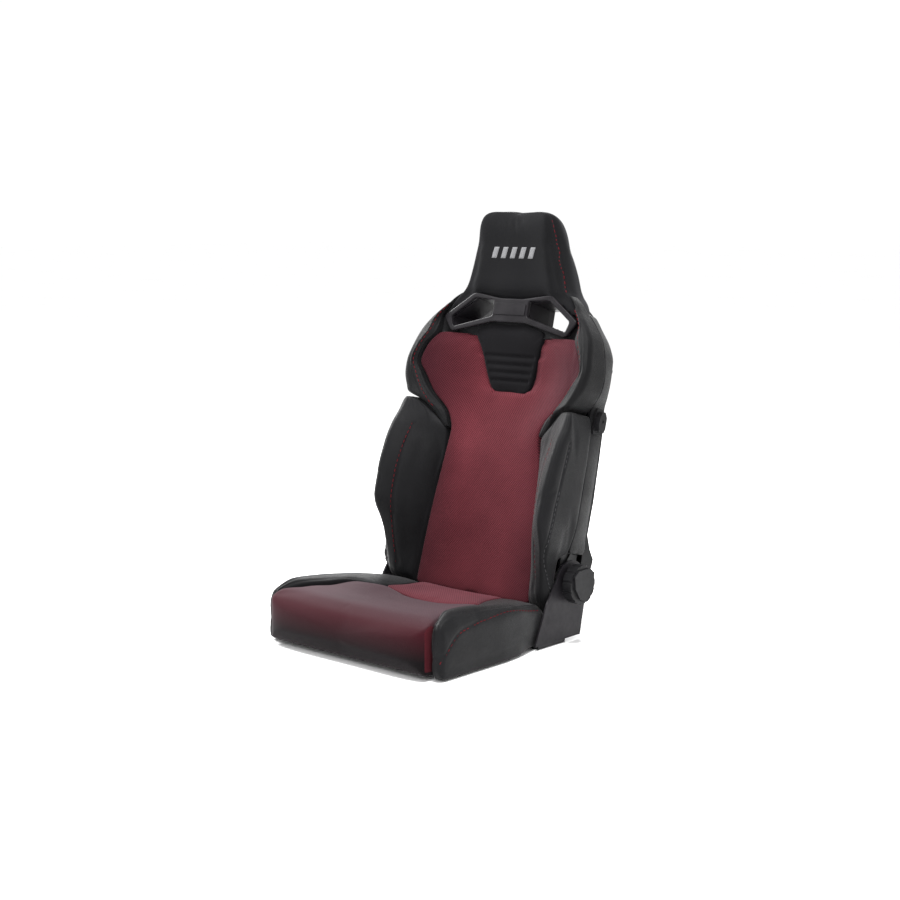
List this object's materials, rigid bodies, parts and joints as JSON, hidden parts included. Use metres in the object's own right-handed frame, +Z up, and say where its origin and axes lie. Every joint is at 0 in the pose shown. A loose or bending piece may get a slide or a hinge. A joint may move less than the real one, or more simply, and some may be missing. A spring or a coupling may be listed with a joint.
{
  "type": "reclining sports seat",
  "caption": "High-bolstered reclining sports seat with an integral headrest, two harness openings, hand-wheel recliners and a tip-forward lever.",
  "frame": {"origin": "centre of the four base mounting holes, on the underside of the base rails", "axes": "+Z up; the seat faces -Y; +X is the right-hand side seen from in front"},
  "size_m": [0.58, 0.6545, 0.9531],
  "materials": {
    "bolster_leatherette": "matt charcoal leatherette with fine grain and red-stitched seams",
    "shoulder_leatherette": "black leatherette, soft sheen",
    "head_fabric": "near-black flat suede-like fabric",
    "insert_fabric": "black fabric with three sewn channels",
    "red_mesh": "burgundy open mesh over black, fine twill",
    "shimmer_fabric": "black and red two-tone shimmer fabric",
    "frame_plastic": "satin dark grey moulded plastic",
    "shell_plastic": "grained black moulded plastic",
    "black_plastic": "satin black moulded plastic",
    "grey_paint": "satin dark grey paint",
    "black_paint": "black electrocoat",
    "zinc_steel": "zinc-plated steel"
  },
  "bodies": {
    "seat_base": {"base_rail_left": "black_paint", "base_rail_right": "black_paint", "cushion_bolster_left": "bolster_leatherette", "cushion_bolster_right": "bolster_leatherette", "cushion_centre": "shimmer_fabric", "cushion_rear_panel": "red_mesh", "front_cross_member": "black_paint", "rear_cross_tube": "black_paint", "recliner_disc_lower_left": "zinc_steel", "recliner_disc_lower_right": "zinc_steel", "seat_pan": "black_paint", "seat_springs": "zinc_steel", "shaft_bearings": "black_plastic", "side_feet": "black_paint", "side_plate_left": "grey_paint", "side_plate_right": "grey_paint", "weld_nuts": "zinc_steel"},
    "hand_wheels": {"cross_shaft": "zinc_steel", "hand_wheel_left": "black_plastic", "hand_wheel_right": "black_plastic", "wheel_cap_left": "black_plastic", "wheel_cap_right": "black_plastic", "wheel_screws": "zinc_steel"},
    "recliner_upper": {"bush_clips": "zinc_steel", "latch_strikers": "zinc_steel", "recliner_arm_left": "black_paint", "recliner_arm_right": "black_paint", "recliner_disc_upper_left": "zinc_steel", "recliner_disc_upper_right": "zinc_steel", "tip_bushes": "black_plastic"},
    "backrest": {"back_bolster_left": "bolster_leatherette", "back_bolster_right": "bolster_leatherette", "back_cross_bar_lower": "black_paint", "back_cross_bar_upper": "black_paint", "back_hoop": "black_paint", "back_insert": "insert_fabric", "back_panel": "red_mesh", "back_shell": "shell_plastic", "back_springs": "zinc_steel", "blank_plate": "frame_plastic", "frame_arm_left": "black_paint", "frame_arm_right": "black_paint", "frame_gussets": "black_paint", "harness_frame_front": "frame_plastic", "harness_frame_rear": "frame_plastic", "harness_sleeve_left": "frame_plastic", "harness_sleeve_right": "frame_plastic", "headrest_pad": "head_fabric", "hook_pivots": "zinc_steel", "lever_pivot": "zinc_steel", "lever_surround": "black_plastic", "shoulder_bolster_left": "shoulder_leatherette", "shoulder_bolster_right": "shoulder_leatherette", "side_cover_left": "bolster_leatherette", "side_cover_right": "bolster_leatherette", "yoke_pad": "shoulder_leatherette"},
    "release_lever": {"release_lever": "black_plastic"},
    "latch_hook_left": {"latch_hook_left": "black_paint"},
    "latch_hook_right": {"latch_hook_right": "black_paint"}
  },
  "joints": [
    {"name": "recline", "type": "hinge", "parent": "seat_base", "child": "recliner_upper", "pos_m": [0, 0.197, 0.133], "axis": [-1, 0, 0], "range_deg": [-8, 50]},
    {"name": "wheel_turn", "type": "hinge", "parent": "seat_base", "child": "hand_wheels", "pos_m": [0, 0.197, 0.133], "axis": [-1, 0, 0], "range_deg": [-275, 1705]},
    {"name": "tip_forward", "type": "hinge", "parent": "recliner_upper", "child": "backrest", "pos_m": [0, 0.197, 0.133], "axis": [1, 0, 0], "range_deg": [0, 38]},
    {"name": "lever_pull", "type": "hinge", "parent": "backrest", "child": "release_lever", "pos_m": [0.255, 0.28506, 0.48619], "axis": [1, 0, 0], "range_deg": [0, 25], "stiffness_Nm_per_rad": 1.5, "springref_deg": -8.59},
    {"name": "hook_lift_left", "type": "hinge", "parent": "backrest", "child": "latch_hook_left", "pos_m": [-0.2196, 0.22508, 0.22082], "axis": [1, 0, 0], "range_deg": [0, 15.5]},
    {"name": "hook_lift_right", "type": "hinge", "parent": "backrest", "child": "latch_hook_right", "pos_m": [0.2196, 0.22508, 0.22082], "axis": [1, 0, 0], "range_deg": [0, 15.5]}
  ],
  "couplings": [
    {"joint": "wheel_turn", "follows": "recline", "ratio": 34},
    {"joint": "hook_lift_left", "follows": "lever_pull", "ratio": 0.6},
    {"joint": "hook_lift_right", "follows": "lever_pull", "ratio": 0.6}
  ]
}
